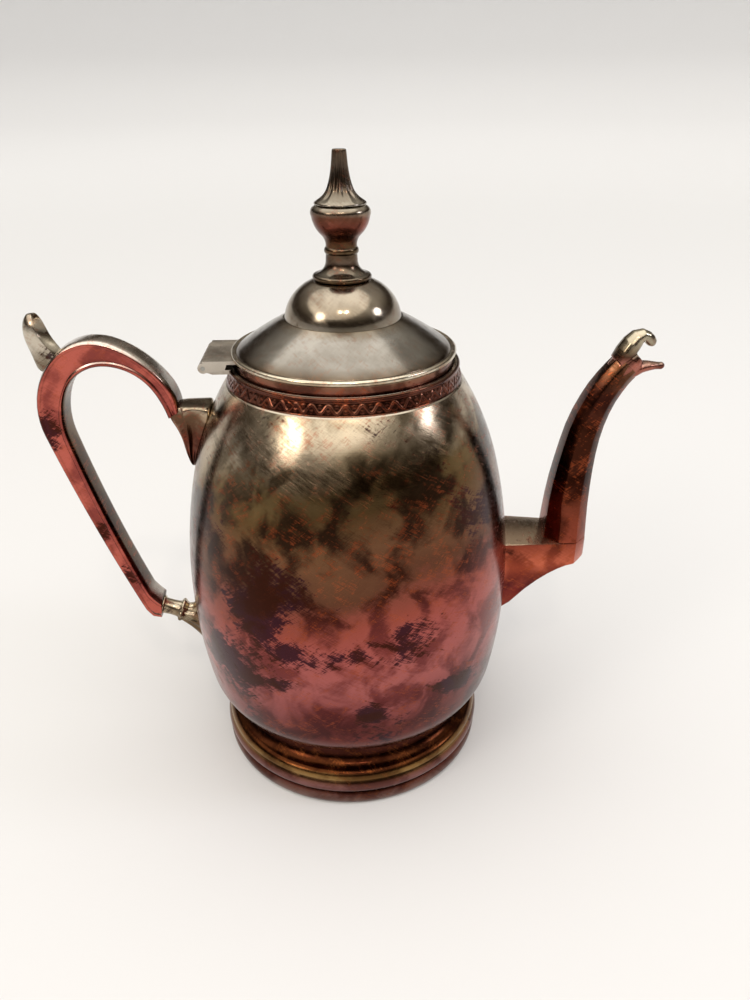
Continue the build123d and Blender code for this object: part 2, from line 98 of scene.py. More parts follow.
def turned(name, outline, steps=160):
    # one point is extruded along the outline of (radius, height), then spun about the axis
    bpy.ops.object.select_all(action="DESELECT")
    bpy.ops.mesh.primitive_plane_add(size=mm)
    piece = bpy.context.active_object
    piece.name = name
    bpy.ops.object.mode_set(mode="EDIT")
    bpy.ops.mesh.merge(type="CENTER")
    bpy.ops.transform.translate(value=(outline[0][0] * mm, 0, outline[0][1] * mm))
    for (r0, z0), (r1, z1) in zip(outline, outline[1:]):
        step = ((r1 - r0) * mm, 0, (z1 - z0) * mm)
        bpy.ops.mesh.extrude_region_move(TRANSFORM_OT_translate={"value": step})
    bpy.ops.mesh.select_all(action="SELECT")
    bpy.ops.mesh.spin(steps=steps, angle=2 * math.pi, center=(0, 0, 0), axis=(0, 0, 1))
    bpy.ops.mesh.select_all(action="SELECT")
    bpy.ops.mesh.remove_doubles(threshold=0.01 * mm)
    bpy.ops.mesh.normals_make_consistent(inside=False)
    bpy.ops.object.mode_set(mode="OBJECT")
    return piece


def skinned(name, rings, capStart=True, capEnd=True):
    # a circle takes the first ring's places, and is extruded to each ring after it
    bpy.ops.object.select_all(action="DESELECT")
    bpy.ops.mesh.primitive_circle_add(vertices=len(rings[0]), radius=mm)
    piece = bpy.context.active_object
    piece.name = name
    bpy.ops.object.mode_set(mode="EDIT")
    mesh = bmesh.from_edit_mesh(piece.data)
    mesh.verts.ensure_lookup_table()
    order = list(mesh.verts)
    startPlaces = None
    for index, ring in enumerate(rings):
        if index:
            bpy.ops.mesh.extrude_region_move()
            mesh = bmesh.from_edit_mesh(piece.data)
            order = [None] * len(ring)
            for vertex in mesh.verts:
                if vertex.select:
                    order[places[tuple(vertex.co)]] = vertex
        for vertex, point in zip(order, ring):
            vertex.co = Vector(point) * mm
        places = {tuple(vertex.co): number for number, vertex in enumerate(order)}
        startPlaces = startPlaces or set(places)
        bmesh.update_edit_mesh(piece.data)
    if capEnd:
        bpy.ops.mesh.edge_face_add()
    if capStart:
        bpy.ops.mesh.select_all(action="DESELECT")
        mesh = bmesh.from_edit_mesh(piece.data)
        for vertex in mesh.verts:
            vertex.select_set(tuple(vertex.co) in startPlaces)
        mesh.select_flush_mode()
        bmesh.update_edit_mesh(piece.data)
        bpy.ops.mesh.edge_face_add()
    bpy.ops.mesh.select_all(action="SELECT")
    bpy.ops.mesh.normals_make_consistent(inside=False)
    bpy.ops.object.mode_set(mode="OBJECT")
    return piece


def joined(name, pieces):
    bpy.ops.object.select_all(action="DESELECT")
    for piece in pieces:
        piece.select_set(True)
    bpy.context.view_layer.objects.active = pieces[0]
    bpy.ops.object.join()
    pieces[0].name = name
    return pieces[0]


def rotated2d(vector, angle):
    return Vector((vector.x * math.cos(angle) - vector.y * math.sin(angle),
                   vector.x * math.sin(angle) + vector.y * math.cos(angle)))


def arcTangent(start, end, tangent, count):
    # an arc that leaves start along tangent and reaches end: its points and its last tangent
    start, tangent = Vector(start), Vector(tangent).normalized()
    chord = Vector(end) - start
    lean = math.atan2(tangent.x * chord.y - tangent.y * chord.x, tangent.dot(chord))
    points = []
    for i in range(1, count + 1):
        share = i / count
        reach = chord.length * (math.sin(lean * share) / math.sin(lean) if abs(lean) > 1e-6 else share)
        points.append(tuple(start + rotated2d(tangent, lean * share) * reach))
    return points, rotated2d(tangent, 2 * lean)


def arcThrough(start, middle, end, count):
    # the first tangent of the arc through three points, then the arc from it
    toMiddle, toEnd = Vector(middle) - Vector(start), Vector(end) - Vector(start)
    turn = math.atan2(toMiddle.x * toEnd.y - toMiddle.y * toEnd.x, toMiddle.dot(toEnd))
    back = Vector(start) - Vector(middle)
    on = Vector(end) - Vector(middle)
    inside = math.atan2(back.x * on.y - back.y * on.x, back.dot(on))
    lean = math.copysign(math.pi, inside) - inside
    return arcTangent(start, end, rotated2d(toEnd.normalized(), lean), count)


def arcChain(start, tangent, stops, count):
    points = [tuple(start)]
    for stop in stops:
        more, tangent = arcTangent(points[-1], stop, tangent, count)
        points += more
    return points


# camera, lights and floor

studio = {
    "cameraPlace": (0, -285.9, 266.7),     # mm
    "cameraTurn": (28.1, 2.27, -0.37),     # degrees down, towards +X, and rolled
    "lens": 28.08,                         # mm on a 36 mm frame
    "floor": "#DDDFE3",
    "skyLow": "#3B3027",                   # the dim room that the pot mirrors near the horizon
    "skyMiddle": "#4A4138",
    "skyHigh": "#B9B2A6",
    "skyTop": "#D8D4CC",
}

down, yaw, roll = (math.radians(a) for a in studio["cameraTurn"])
cameraData = bpy.data.cameras.new("mainCamera")
cameraData.lens = studio["lens"]
cameraData.sensor_width = 36
camera = bpy.data.objects.new("mainCamera", cameraData)
turnCamera = Matrix.Rotation(-yaw, 4, "Z") @ Matrix.Rotation(math.pi / 2 - down, 4, "X")
camera.matrix_world = (
    Matrix.Translation(Vector(studio["cameraPlace"]) * mm) @ turnCamera @ Matrix.Rotation(roll, 4, "Z")
)
bpy.context.scene.collection.objects.link(camera)
bpy.context.scene.camera = camera
bpy.context.scene.view_settings.view_transform = "Standard"


def areaLight(name, place, target, size, power, colour="#FFFFFF"):
    data = bpy.data.lights.new(name, "AREA")
    data.shape = "DISK"
    data.size = size
    data.energy = power
    data.color = linearColour(colour)[:3]
    lamp = bpy.data.objects.new(name, data)
    bpy.context.scene.collection.objects.link(lamp)
    aim = Vector(target) - Vector(place)
    lamp.matrix_world = Matrix.Translation(place) @ aim.to_track_quat("-Z", "Y").to_matrix().to_4x4()


sunData = bpy.data.lights.new("softSky", "SUN")
sunData.energy = 2.2
sunData.angle = math.radians(96)
sunData.color = linearColour("#FFFAF2")[:3]
sun = bpy.data.objects.new("softSky", sunData)
sun.rotation_euler = (math.radians(12), math.radians(-8), 0)
bpy.context.scene.collection.objects.link(sun)
areaLight("frontLeftSoftbox", (-1.1, -0.9, 1.0), (0, 0, 0.12), 0.5, 4, "#FFF4E6")
areaLight("rightSoftbox", (1.3, -0.2, 0.9), (0, 0, 0.12), 0.4, 3, "#F3F4FF")
areaLight("glintLeft", (-0.13, -1.0, 1.32), (0, 0, 0.15), 0.07, 1.6, "#FFF0DA")
areaLight("glintRight", (0.16, -0.98, 1.30), (0, 0, 0.15), 0.09, 1.6, "#FFEFD8")

world = bpy.data.worlds.new("softStudio")
bpy.context.scene.world = world
world.use_nodes = True
sky = world.node_tree
sky.nodes.clear()
direction = addNode(sky, "TexCoord").outputs["Generated"]
height = addNode(sky, "SeparateXYZ", [direction]).outputs["Z"]
skyRamp = addNode(sky, "ValToRGB", [height])
skyRamp.color_ramp.elements[0].position = 0.0
skyRamp.color_ramp.elements[0].color = linearColour(studio["skyLow"])
skyRamp.color_ramp.elements[1].position = 1.0
skyRamp.color_ramp.elements[1].color = linearColour(studio["skyTop"])
for position, key in ((0.35, "skyMiddle"), (0.62, "skyHigh")):
    skyRamp.color_ramp.elements.new(position).color = linearColour(studio[key])
skyLight = addNode(sky, "Background", {"Color": skyRamp, "Strength": 1.0})
addNode(sky, "OutputWorld", {"Surface": skyLight})

# a wide pale floor that turns up at its edge
floor = turned("floor", [(0, 0), (2000, 0), (2400, 40), (2700, 160), (2880, 360), (2950, 640)], 96)
floorPaint = bpy.data.materials.new("mattePaleFloor")
floorPaint.use_nodes = True
floorShader = floorPaint.node_tree.nodes["Principled BSDF"]
floorShader.inputs["Base Color"].default_value = linearColour(studio["floor"])
floorShader.inputs["Roughness"].default_value = 0.9
floorShader.inputs["Specular IOR Level"].default_value = 0.15
floor.data.materials.append(floorPaint)
selectOnly(floor)
bpy.ops.object.shade_smooth()
print("camera, lights and floor made")


# Silver plate on white metal, spun, stamped or cast, that tarnish has taken through copper red to violet
# black;
# the copper red is partly a painted reflection of a red cloth that the metal mirrors. The eye gets a mirror
# whose colour changes in soft fields with feathery edges where a cloth has rubbed through the tarnish, and
# up-facing faces can pale as a painted highlight.
plateLook = {
    # colour by height in mm: the paler and the deeper tone that lie in patches there
    "bands": ((0, "#B8AE96", "#6E6450"), (250, "#B8AE96", "#6E6450")),
    "tilt": 0.0,                                 # how far the bands climb towards the spout
    "wander": 14, "feather": 5,                  # mm that patches and strokes move the bands
    "deepFrom": (0.40, 0.62), "hatch": 0.16,
    "warm": "#A8502E", "warmShare": 0.35,        # coppery strokes
    # painted highlight: faces that point up turn towards this pale tone
    "upTone": "#D8D0BE", "upShare": 0.0, "upFrom": (0.35, 0.85),
    # partly painted reflection: flat sides take this copper tone, which stands in for a red cloth that they
    # mirror
    "sideTone": "#B8553F", "sideDeep": "#7A352B", "sideShare": 0.0,
    "dark": "#2A1520", "darkWarm": "#34180F",
    "darkLevel": 0.70,                           # the noise level above which it is dark
    "spots": (),                                 # dark fields: centre, half sizes, turn about Y
    "roughness": (0.14, 0.30),
    "scratch": 0.5,
    # patterns: grain in mm, stretch, turn in degrees about Y, detail, distortion
    "strokes": (0.8, (8, 8, 1), 32, 4, 1.2),
    "crossStrokes": (0.7, (7, 7, 1), -40, 4, 1.2),
    "patches": (26, (1, 1, 1), 0, 3, 0.5),
    "broad": (15, (1, 1, 1), 0, 3, 0.6),
    "fine": (5, (1, 1, 1), 0, 5, 0.4),
    "cloud": (32, (1, 1, 1), 0, 3, 0.6),
    "ragged": (7, (1.5, 1, 1), 0, 5, 1.5),
    "polish": (0.5, (30, 30, 0.7), 0, 3, 0),
}


def silverPlate(name, **changes):
    look = {**plateLook, **changes}
    material = bpy.data.materials.new(name)
    material.use_nodes = True
    material.node_tree.nodes.clear()
    add = partial(addNode, material.node_tree)
    coordinates = add("TexCoord")
    place = coordinates.outputs["Object"]
    facing = add("SeparateXYZ", [coordinates.outputs["Normal"]])

    grain = {}
    for key in ("strokes", "crossStrokes", "patches", "broad", "fine", "cloud", "ragged", "polish"):
        size, stretch, turn, detail, distort = look[key]
        at = add(
            "Mapping", {"Vector": place, "Rotation": (0, math.radians(turn), 0),
                        "Scale": [part * size * mm for part in stretch]}, vector_type="TEXTURE",
        )
        grain[key] = add("TexNoise", {"Vector": at, "Scale": 1.0, "Detail": detail, "Distortion": distort})
        grain[key] = grain[key].outputs[0]

    # strokes run both ways, and with the patches they move the bands of colour up and down
    rub = add("Math", [grain["strokes"], grain["crossStrokes"]], operation="ADD")
    rub = add("Math", [rub, 1.0], operation="SUBTRACT")
    height = add("VectorMath", [place, (-look["tilt"] / mm, 0, 1 / mm)], operation="DOT_PRODUCT")
    height = add("Math", [grain["patches"], look["wander"] * 2, height], operation="MULTIPLY_ADD")
    height = add("Math", [rub, look["feather"], height], operation="MULTIPLY_ADD")
    low, high = look["bands"][0][0], look["bands"][-1][0]
    along = add("MapRange", [height, low + look["wander"], high + look["wander"]])
    tones = []
    for tone in (1, 2):
        ramp = add("ValToRGB", [along])
        for number, band in enumerate(look["bands"]):
            share = (band[0] - low) / (high - low)
            stops = ramp.color_ramp.elements
            stop = stops[0] if number == 0 else stops[-1] if band[0] == high else stops.new(share)
            stop.position = share
            stop.color = linearColour(band[tone])
        tones.append(ramp)
    patchy = add("Math", [rub, look["hatch"], grain["broad"]], operation="MULTIPLY_ADD")
    patchy = add("MapRange", [patchy, *look["deepFrom"]], interpolation_type="SMOOTHSTEP")
    colour = add("Mix", {0: patchy, 6: tones[0], 7: tones[1]}, data_type="RGBA")

    # flat sides take a copper tone that partly stands in for a red cloth they mirror, a painted reflection,
    # and up-facing metal pales towards a light tone as a painted highlight
    side = add("Math", [facing.outputs["Y"]], operation="ABSOLUTE")
    side = add("MapRange", [side, 0.45, 0.9, 0, look["sideShare"]])
    sideTone = add("Mix", {0: patchy, 6: linearColour(look["sideTone"]), 7: linearColour(look["sideDeep"])},
                   data_type="RGBA")
    colour = add("Mix", {0: side, 6: colour, 7: sideTone}, data_type="RGBA")
    upward = add("MapRange", [facing.outputs["Z"], *look["upFrom"], 0, look["upShare"]])
    colour = add("Mix", {0: upward, 6: colour, 7: linearColour(look["upTone"])}, data_type="RGBA")

    # coppery strokes, then the dark fields with ragged edges
    warmth = add("Math", [grain["fine"], rub], operation="ADD")
    warmth = add("MapRange", [warmth, 0.52, 0.82, 0, look["warmShare"]], interpolation_type="SMOOTHSTEP")
    colour = add("Mix", {0: warmth, 6: colour, 7: linearColour(look["warm"])}, data_type="RGBA")
    darkness = add("Math", [grain["ragged"], 0.45, grain["cloud"]], operation="MULTIPLY_ADD")
    darkness = add("Math", [rub, 0.42, darkness], operation="MULTIPLY_ADD")
    for centre, half, turn in look["spots"]:
        near = add(
            "Mapping", {"Vector": place, "Location": Vector(centre) * mm, "Scale": Vector(half) * mm,
                        "Rotation": (0, math.radians(turn), 0)}, vector_type="TEXTURE",
        )
        away = add("VectorMath", [near], operation="LENGTH")
        field = add("MapRange", [away, 1.5, 0.2, 0, 0.36], interpolation_type="SMOOTHSTEP")
        darkness = add("Math", [darkness, field], operation="ADD")
    level = look["darkLevel"] + 0.225
    darkness = add(
        "MapRange", [darkness, level - 0.05, level + 0.08, 0, 0.92], interpolation_type="SMOOTHSTEP",
    )
    dark = add("Mix", {0: patchy, 6: linearColour(look["dark"]), 7: linearColour(look["darkWarm"])},
               data_type="RGBA")
    colour = add("Mix", {0: darkness, 6: colour, 7: dark}, data_type="RGBA")

    # rubbing marks and the grain of the polish
    scuffs = add("Math", [grain["fine"], grain["strokes"]], operation="ADD")
    roughness = add("MapRange", [scuffs, 0.75, 1.3, *look["roughness"]])
    relief = add("Math", [grain["polish"], grain["strokes"]], operation="ADD")
    bump = add("Bump", {"Strength": 0.10 * look["scratch"], "Distance": 0.12 * mm, "Height": relief})
    shader = add(
        "BsdfPrincipled", {"Base Color": colour, "Roughness": roughness, "Metallic": 1.0, "Normal": bump},
    )
    add("OutputMaterial", {"Surface": shader})
    return material


# spun body plate: silver shoulder, brown middle, a copper red belly that is a painted reflection of a red
# cloth, violet-black fields, and bands darker towards the bottom as painted shade where the belly turns under
bodyPlate = silverPlate(
    "silverPlateSpunTarnished", tilt=0.14,
    bands=(
        (26, "#5C2722", "#40171A"), (46, "#6A2F2A", "#431A19"), (57, "#8A4A48", "#562423"),
        (70, "#A25C58", "#703736"), (86, "#A0544E", "#703430"), (98, "#934A3E", "#5C2A27"),
        (106, "#84463A", "#421E18"), (112, "#5C3A2A", "#30180F"), (124, "#6B4A34", "#2E1D14"),
        (138, "#5E482C", "#2A1C11"), (147, "#75603F", "#3C2E1F"), (154, "#A39278", "#625440"),
        (161, "#BFB09A", "#7A6C58"), (169, "#BDB09A", "#827662"),
    ),
    wander=10, darkLevel=0.69,
    spots=(
        ((-30, -58, 106), (16, 22, 24), 35), ((-12, -62, 84), (17, 20, 9), -12),
        ((-24, -58, 69), (15, 20, 4.5), -8), ((20, -60, 91), (20, 20, 11), -20),
        ((50, -40, 128), (12, 20, 14), 0), ((-46, -40, 68), (12, 20, 14), 15), ((6, -60, 57), (8, 14, 7), 0),
        ((34, -48, 63), (16, 18, 6), 20),
    ),
)
# polished lid plate: grey radial sheen on the cone, brown straw tarnish on the dome
lidPlate = silverPlate(
    "silverPlateLidPolished",
    bands=(
        (166, "#8A7C66", "#5C4C3A"), (180.6, "#766A5C", "#5C5044"), (183, "#95918A", "#7A746C"),
        (189, "#A09C95", "#847E76"), (191, "#9A9082", "#756B5C"), (197, "#AA9E8C", "#7E7262"),
        (202, "#A79D8E", "#80766A"), (206, "#9A9082", "#6E6456"),
    ),
    wander=1.0, feather=0.8, deepFrom=(0.30, 0.72), hatch=0.1, darkLevel=0.90,
    warmShare=0.2, warm="#8A5A3C", roughness=(0.12, 0.26),
)
# lid rim and collar plate: rosy wall under a bright edge, paler on up-facing faces as a painted highlight
lidRimPlate = silverPlate(
    "silverPlateLidRimRosy",
    bands=(
        (168, "#5A3026", "#3E2018"), (173, "#5A3026", "#3E2018"), (175, "#77463C", "#4A2620"),
        (178, "#7E5A46", "#4E3226"), (179, "#CFC4AE", "#A3927A"), (181, "#D8D0BE", "#B0A28A"),
    ),
    wander=0.8, feather=0.5, darkLevel=0.78, upShare=0.8,
)
# foot plate: brown cove darkened to near black as painted shade under the body, straw ogee that is a painted
# highlight, mauve bead and rim
footPlate = silverPlate(
    "silverPlateFootBrownTarnish",
    bands=(
        (0, "#6E4F48", "#4A2A25"), (3.6, "#80645C", "#5A3C36"), (6.3, "#5A3028", "#3A1812"),
        (7.6, "#6E423A", "#4A231E"), (10.4, "#8A605C", "#66403C"), (12.4, "#6A4430", "#40231A"),
        (13.6, "#9A7C50", "#6A4C2C"), (15.0, "#86663C", "#543A20"), (16.4, "#4A2814", "#2C140A"),
        (20, "#2A1009", "#1E0905"), (23.5, "#40201A", "#2E120E"), (26, "#5C2A26", "#44201E"),
    ),
    wander=0.5, feather=0.5, darkLevel=0.80, upShare=0.0, warm="#8A4E28", warmShare=0.25,
    deepFrom=(0.40, 0.64),
)
# die-rolled strip: maroon brown, low contrast, a little paler on up-facing faces as a painted highlight
collarPlate = silverPlate(
    "silverPlateDieRolled",
    bands=((168, "#4A281C", "#34180F"), (171, "#6A4032", "#4A271E"), (174, "#5E382C", "#40221A")),
    wander=0.4, feather=0.3, darkLevel=0.76, upShare=0.25, upTone="#A08068",
)
# stamped handle halves: orange-red flat faces, a copper tone that partly stands in for the red cloth they
# mirror (painted reflection), olive-brown edges, and a painted highlight on the up-facing top
handlePlate = silverPlate(
    "silverPlateStampedCopperToned",
    bands=(
        (60, "#453629", "#2B1E14"), (110, "#4A3822", "#302014"), (140, "#5E4830", "#3C2A1A"),
        (165, "#46341F", "#2C1D10"), (185, "#5E4C38", "#3A2C1E"),
    ),
    sideTone="#B65F52", sideDeep="#84403A", sideShare=1.0, upTone="#D4CCC2", upShare=1.0, upFrom=(0.30, 0.75),
    darkLevel=0.74, warmShare=0.30, warm="#AE5636",
    spots=(
        ((-113, -6, 150), (6, 8, 13), 12), ((-92, -6, 84), (6, 8, 9), 20), ((-101, -6, 104), (4, 8, 8), 20),
    ),
)
# spout plate: near-black olive neck, orange-red cheeks on the foot, bright top face that is a painted
# highlight on faces that point up
spoutPlate = silverPlate(
    "silverPlateSpoutOliveTarnish",
    bands=(
        (62, "#8A3A2C", "#5A2420"), (76, "#6E2A26", "#4A1A1E"), (88, "#C0644A", "#8A3E2C"),
        (97, "#86402F", "#522419"), (112, "#6A3424", "#3C1A10"), (124, "#3A1C12", "#220D07"),
        (146, "#361A10", "#1E0C07"), (158, "#542C20", "#321812"), (170, "#6E4C38", "#402818"),
    ),
    tilt=0.0, wander=6, darkLevel=0.70, upShare=0.75, upTone="#B9A890", upFrom=(0.75, 0.97), warmShare=0.4,
)
# cast fittings: silver beige and brown in soft patches, paler on up-facing faces as a painted highlight
castPlate = silverPlate(
    "silverPlateCastDarkHollows",
    bands=((30, "#A8987E", "#66543F"), (100, "#A8987E", "#66543F"), (172, "#A89C88", "#6C6050"),
           (180, "#C4BAAA", "#8A8070"), (200, "#C4BAAA", "#8A8070")),
    darkLevel=0.66, cloud=(9, (1, 1, 1), 0, 3, 0.6), warmShare=0.3, warm="#8E4A34", upShare=0.4,
)
# cast socket: red brown in the flutes, silver on the top edge and the crests
socketPlate = silverPlate(
    "silverPlateCastRosyFlutes",
    bands=((130, "#6E3C30", "#3A1C14"), (146, "#8A5C4C", "#4A2A20"), (155, "#A08C74", "#5E4836"),
           (159, "#C6BAA4", "#8A7C68")),
    wander=2, feather=1, darkLevel=0.72, warmShare=0.4, warm="#9A4A38", roughness=(0.10, 0.24),
)
# hinge leaves: brushed, dull, so that it is evenly pale
leafPlate = silverPlate(
    "silverPlateHingeBrushed", bands=((170, "#A89E92", "#7E7468"), (182, "#C2BAAE", "#9A9084")),
    darkLevel=0.9, warmShare=0.1, roughness=(0.34, 0.5),
)
# cast beak: cream hood, paler on up-facing faces as a painted highlight, over a rosy lip, and a dark band at
# the mouth that is painted shade in place of an opening
beakPlate = silverPlate(
    "silverPlateCastBeak",
    bands=((160, "#6E4434", "#44281C"), (167, "#8E5648", "#5E342A"), (171.5, "#A86A5C", "#74443A"),
           (174.5, "#4A3226", "#2C1C14"), (177, "#7E705A", "#524432"), (180.5, "#A89E88", "#766A58"),
           (186, "#C2B8A2", "#8E846E")),
    wander=1.5, feather=0.8, darkLevel=0.78, upShare=0.3, warmShare=0.2,
)
# cast finial: olive skirt, brown and rosy urn, grey-brown spire, a little paler on up-facing faces as a
# painted highlight
finialPlate = silverPlate(
    "silverPlateCastFinial",
    bands=(
        (204, "#66533E", "#453727"), (207, "#524434", "#3A3026"), (211, "#6A594C", "#4A3C32"),
        (215, "#5E4C36", "#3E3122"), (219, "#4C2E1C", "#341B10"), (223.5, "#8E4C3E", "#5E3228"),
        (226.6, "#7A5040", "#553628"), (228.4, "#A49684", "#6E6254"), (230.4, "#C2BAAC", "#8C8478"),
        (232, "#94887C", "#5E5448"), (240, "#6A5C50", "#44382E"), (247.6, "#6E5C4C", "#46382C"),
    ),
    wander=1.0, feather=1.2, darkLevel=0.74, warmShare=0.3, warm="#84432F", upShare=0.2,
)
# turned steel, dull: even grey with a soft turned grain
steel = silverPlate(
    "steelTurnedDull", bands=((0, "#A2A09A", "#7C7A75"), (250, "#A2A09A", "#7C7A75")), darkLevel=1.2,
    warmShare=0.0, roughness=(0.3, 0.45),
)
print("finishes made")


# body

bodyShape = {
    "wall": 1.2, "neck": (45.0, 168.4), "waist": (59.8, 135.0), "widest": (66.6, 82.0),
    "hip": (63.1, 42.5), "sole": (55.8, 30.2), "footJoint": (49.8, 26.0),
    "strainerHole": 2.8, "strainerPitch": 4.4, "strainerCount": (4, 5), "strainerHeight": 83.0,
}
upper = arcChain(bodyShape["widest"], (0, 1), [bodyShape["waist"], bodyShape["neck"]], 22)
lower = arcChain(bodyShape["widest"], (0, -1), [bodyShape[k] for k in ("hip", "sole", "footJoint")], 12)
bodyOutline = lower[::-1] + upper[1:]


def bodyRadius(z):
    for (r0, z0), (r1, z1) in zip(bodyOutline, bodyOutline[1:]):
        if z0 <= z <= z1:
            return r0 + (r1 - r0) * (z - z0) / (z1 - z0)
    return bodyOutline[0][0]


bodyShell = turned("bodyShell", bodyOutline, fineSteps)
applyModifier(bodyShell, "SOLIDIFY", thickness=bodyShape["wall"] * mm, offset=-1, use_even_offset=True)

# the strainer holes behind the spout, cut by short rods
rods = []
columns, rows = bodyShape["strainerCount"]
for column in range(columns):
    for row in range(rows):
        y = (column - (columns - 1) / 2) * bodyShape["strainerPitch"]
        z = bodyShape["strainerHeight"] + (row - (rows - 1) / 2) * bodyShape["strainerPitch"]
        bpy.ops.mesh.primitive_cylinder_add(
            vertices=16, radius=bodyShape["strainerHole"] / 2 * mm, depth=12 * mm,
            location=(65 * mm, y * mm, z * mm), rotation=(0, math.pi / 2, 0),
        )
        rods.append(bpy.context.active_object)
cutter = joined("strainerRods", rods)
applyModifier(bodyShell, "BOOLEAN", operation="DIFFERENCE", object=cutter, solver="EXACT")
bpy.data.objects.remove(cutter)
settle(bodyShell, "pot", bodyPlate, ["body_shell"], angle=30)
print("body spun and pierced")


# foot

footShape = {"joint": (49.8, 26.0), "cove": ((50.6, 20.4), (54.2, 17.4)), "bead": (58.0, 10.4)}
cove = arcThrough(footShape["joint"], *footShape["cove"], 12)[0]
ogee = arcTangent(footShape["cove"][1], (57.0, 13.6), (1, -0.28), 10)[0]
bead = arcThrough((56.8, 13.2), footShape["bead"], (56.7, 6.9), 12)[0]
inside = [(55.0, 7.0), (55.0, 12.2), (52.0, 15.8), (48.6, 19.4), (47.6, 23.4), (47.6, 26.0)]
footRing = turned("footRing", [footShape["joint"]] + cove + ogee + [(56.7, 13.35)] + bead + inside
                  + [footShape["joint"]], fineSteps)
settle(footRing, "pot", footPlate, ["foot_ring"], angle=32)
rimCurve = arcThrough((56.7, 6.5), (57.6, 3.7), (55.9, 0), 12)[0]
footRim = turned("footRim", [(56.0, 6.8), (56.7, 6.5)] + rimCurve + [
    (53.5, 0), (53.5, 6.8), (56.0, 6.8),
], fineSteps)
settle(footRim, "pot", footPlate, ["foot_rim"], angle=32)


# neck collar, die-rolled strip and bead

collarShape = {"topRadius": 43.4, "stripBottom": 169.0, "stripTop": 173.6}    # mm
settle(turned("neckCollar", [
    (45.0, 168.4), (44.5, 168.9), (44.3, 169.0), (42.8, 173.6), (42.8, 175.0), (42.6, 175.2), (41.7, 175.2),
    (41.55, 175.0), (41.55, 173.4), (36.8, 173.4), (36.8, 172.2), (40.0, 172.2), (42.4, 168.4), (45.0, 168.4),
], fineSteps), "pot", lidRimPlate, ["neck_collar"])
beadCurve = arcThrough((42.8, 175.2), (43.6, 174.4), (42.8, 173.6), 10)[0]
settle(turned("collarBead", [(42.8, 175.2)] + beadCurve + [(42.8, 175.2)], fineSteps),
       "pot", collarPlate, ["collar_bead"])

strip = {
    "repeats": 48, "across": 26, "up": 18,      # motifs round the collar, and the mesh of one of them
    "line": 0.22, "lineWidth": 0.30,             # mm: the wavy line
    "ray": 0.14, "rayLength": 1.1,               # mm: the fans
}


def stripRelief(u, v):
    # u runs over one repeat from -0.5 to 0.5, v up the strip; the answer is the rise in mm
    tall = collarShape["stripTop"] - collarShape["stripBottom"]
    wide = 2 * math.pi * 44.2 / strip["repeats"]
    middle = 0.5 + 0.27 * math.cos(2 * math.pi * u)
    slope = -0.27 * 2 * math.pi * math.sin(2 * math.pi * u) * tall / wide
    away = (v - middle) * tall / math.sqrt(1 + slope * slope)
    rise = strip["line"] * math.exp(-(away / strip["lineWidth"]) ** 2)
    # a small fan of rays under each crest and over each trough
    for rootU, rootV, way in ((0.0, 0.20, 1), (0.5, 0.80, -1), (-0.5, 0.80, -1)):
        dx, dy = (u - rootU) * wide, (v - rootV) * tall * way
        reach, angle = math.hypot(dx, dy), math.atan2(dx, dy)
        if reach < strip["rayLength"] and abs(angle) < 1.15:
            rise = max(rise, strip["ray"] * (0.5 + 0.5 * math.cos(angle * 11)) * min(1, reach / 0.4))
    if v < 0.05 or v > 0.95:
        rise = max(rise, 0.14)
    return rise


bpy.ops.object.select_all(action="DESELECT")
bpy.ops.mesh.primitive_grid_add(x_subdivisions=strip["across"], y_subdivisions=strip["up"], size=1)
ornamentBand = bpy.context.active_object
ornamentBand.name = "ornamentBand"
bpy.ops.object.mode_set(mode="EDIT")
grid = bmesh.from_edit_mesh(ornamentBand.data)
for vertex in grid.verts:
    u, v = vertex.co.x, vertex.co.y + 0.5
    radius = 44.45 + (collarShape["topRadius"] - 45.0) * v + stripRelief(u, v)
    angle = u * 2 * math.pi / strip["repeats"] - math.pi / 2
    z = collarShape["stripBottom"] + (collarShape["stripTop"] - collarShape["stripBottom"]) * v
    vertex.co = Vector((radius * math.cos(angle), radius * math.sin(angle), z)) * mm
bmesh.update_edit_mesh(ornamentBand.data)
turnAll = 2 * math.pi * (strip["repeats"] - 1) / strip["repeats"]
bpy.ops.mesh.spin(steps=strip["repeats"] - 1, dupli=True, angle=turnAll, center=(0, 0, 0), axis=(0, 0, 1))
bpy.ops.mesh.select_all(action="SELECT")
bpy.ops.mesh.remove_doubles(threshold=0.02 * mm)
bpy.ops.object.mode_set(mode="OBJECT")
applyModifier(ornamentBand, "SOLIDIFY", thickness=0.2 * mm, offset=-1)
settle(ornamentBand, "pot", collarPlate, ["ornament_band"], angle=70)
print("foot, collar and ornament strip made")


# lid

rimBead = arcThrough((40.4, 180.2), (42.1, 179.3), (41.2, 178.2), 12)[0]
settle(turned("lidRim", [(40.4, 180.2)] + rimBead + [
    (41.2, 173.8), (41.1, 173.7), (40.1, 173.7), (40.1, 180.15), (40.4, 180.2),
], fineSteps), "lid", lidRimPlate, ["lid_rim"])

